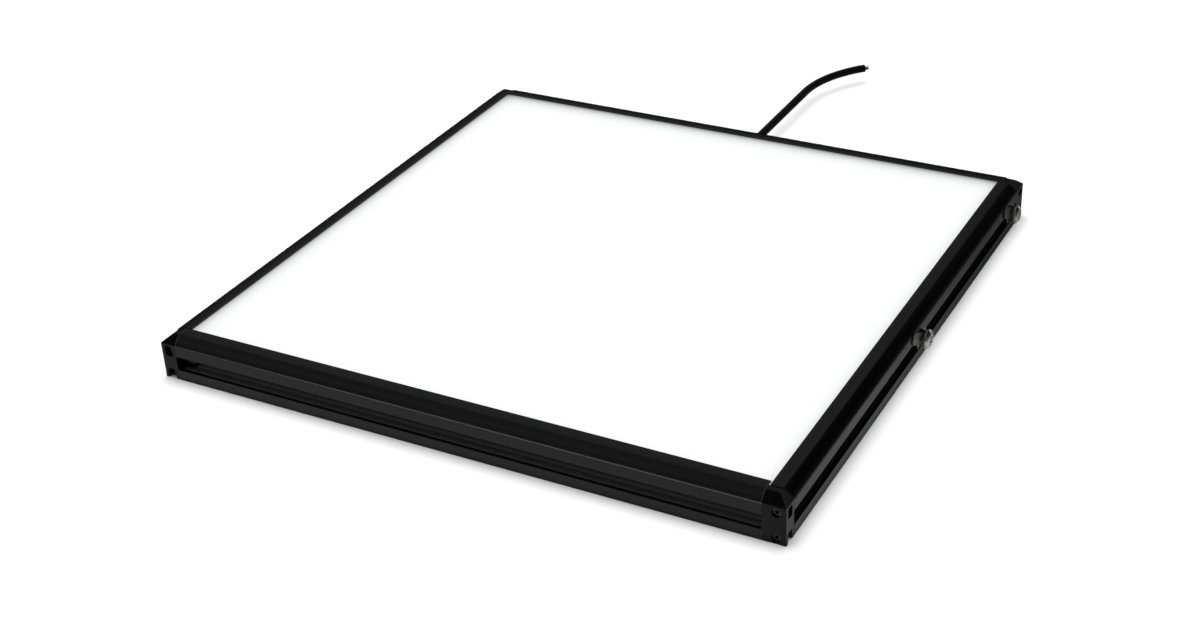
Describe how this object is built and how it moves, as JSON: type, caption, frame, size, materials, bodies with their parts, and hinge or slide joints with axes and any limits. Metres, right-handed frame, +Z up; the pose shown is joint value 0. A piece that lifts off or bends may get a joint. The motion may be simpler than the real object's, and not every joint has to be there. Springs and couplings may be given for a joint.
{
  "type": "led light box",
  "caption": "Flat back-lit LED panel: opal diffuser in a black slotted aluminium frame with corner blocks, sliding slot fittings and a power cable.",
  "frame": {"origin": "centre of the panel's underside", "axes": "+Z up through the lit face, +Y to the back where the cable leaves, +X to the right, where the slot fittings are"},
  "size_m": [0.3546, 0.4995, 0.025],
  "materials": {
    "black_anodised": "satin black anodised extrusion",
    "corner_plastic": "moulded, fine satin",
    "black_steel": "black oxide",
    "zinc_steel": "bright zinc plated",
    "base_aluminium": "black anodised sheet",
    "opal_acrylic": "opal, satin face, back-lit",
    "diffusion_film": "frosted film",
    "reflector_white": "matt white",
    "board_white": "white solder mask",
    "led_phosphor": "phosphor in a white package",
    "pad_grey": "soft silicone",
    "board_green": "green solder mask",
    "terminal_green": "moulded",
    "chip_black": "moulded package",
    "can_aluminium": "drawn can",
    "cable_black": "soft PVC jacket",
    "grommet_black": "rubber",
    "core_white": "PVC insulation",
    "core_black": "PVC insulation",
    "screw_steel": "plated"
  },
  "bodies": {
    "frame": {"base_plate": "base_aluminium", "front_rail": "black_anodised", "rear_rail": "black_anodised", "left_rail": "black_anodised", "right_rail": "black_anodised", "front_left_corner": "corner_plastic", "front_right_corner": "corner_plastic", "rear_left_corner": "corner_plastic", "rear_right_corner": "corner_plastic", "corner_screws": "black_steel", "base_plate_screws": "black_steel", "diffuser_plate": "opal_acrylic", "diffusion_film": "diffusion_film", "reflector_tray": "reflector_white", "led_boards": "board_white", "thermal_pads": "pad_grey", "leds": "led_phosphor", "board_screws": "screw_steel", "positive_links": "core_white", "negative_links": "core_black", "supply_board": "board_green", "terminal_block": "terminal_green", "regulators": "chip_black", "capacitors": "can_aluminium", "cable_grommet": "grommet_black", "cable_jacket": "cable_black", "positive_core": "core_white", "negative_core": "core_black"},
    "nut_mid": {"slot_nut_mid": "zinc_steel"},
    "tab_mid": {"swivel_tab_mid": "zinc_steel"},
    "washer_mid": {"spring_washer_mid": "zinc_steel"},
    "screw_mid": {"clamp_screw_mid": "zinc_steel"},
    "nut_rear": {"slot_nut_rear": "zinc_steel"},
    "tab_rear": {"swivel_tab_rear": "zinc_steel"},
    "washer_rear": {"spring_washer_rear": "zinc_steel"},
    "screw_rear": {"clamp_screw_rear": "zinc_steel"}
  },
  "joints": [
    {"name": "nut_mid_slide", "type": "slide", "parent": "frame", "child": "nut_mid", "axis": [0, 1, 0], "range_m": [-0.155, 0.07]},
    {"name": "tab_mid_swivel", "type": "hinge", "parent": "nut_mid", "child": "tab_mid", "pos_m": [0.1755, 0.004, 0.00985], "axis": [1, 0, 0], "range_deg": [-120, 27]},
    {"name": "washer_mid_lift", "type": "slide", "parent": "nut_mid", "child": "washer_mid", "axis": [1, 0, 0], "range_m": [0, 0.003]},
    {"name": "screw_mid_turn", "type": "hinge", "parent": "washer_mid", "child": "screw_mid", "pos_m": [0.1755, 0.004, 0.00985], "axis": [1, 0, 0], "range_deg": [0, 1098]},
    {"name": "nut_rear_slide", "type": "slide", "parent": "frame", "child": "nut_rear", "axis": [0, 1, 0], "range_m": [-0.043, 0.0012]},
    {"name": "tab_rear_swivel", "type": "hinge", "parent": "nut_rear", "child": "tab_rear", "pos_m": [0.1755, 0.1555, 0.00985], "axis": [1, 0, 0], "range_deg": [-120, 27]},
    {"name": "washer_rear_lift", "type": "slide", "parent": "nut_rear", "child": "washer_rear", "axis": [1, 0, 0], "range_m": [0, 0.003]},
    {"name": "screw_rear_turn", "type": "hinge", "parent": "washer_rear", "child": "screw_rear", "pos_m": [0.1755, 0.1555, 0.00985], "axis": [1, 0, 0], "range_deg": [0, 1098]}
  ],
  "couplings": [
    {"joint": "screw_mid_turn", "follows": "washer_mid_lift", "rad_per_m": 6283.2},
    {"joint": "screw_rear_turn", "follows": "washer_rear_lift", "rad_per_m": 6283.2}
  ]
}
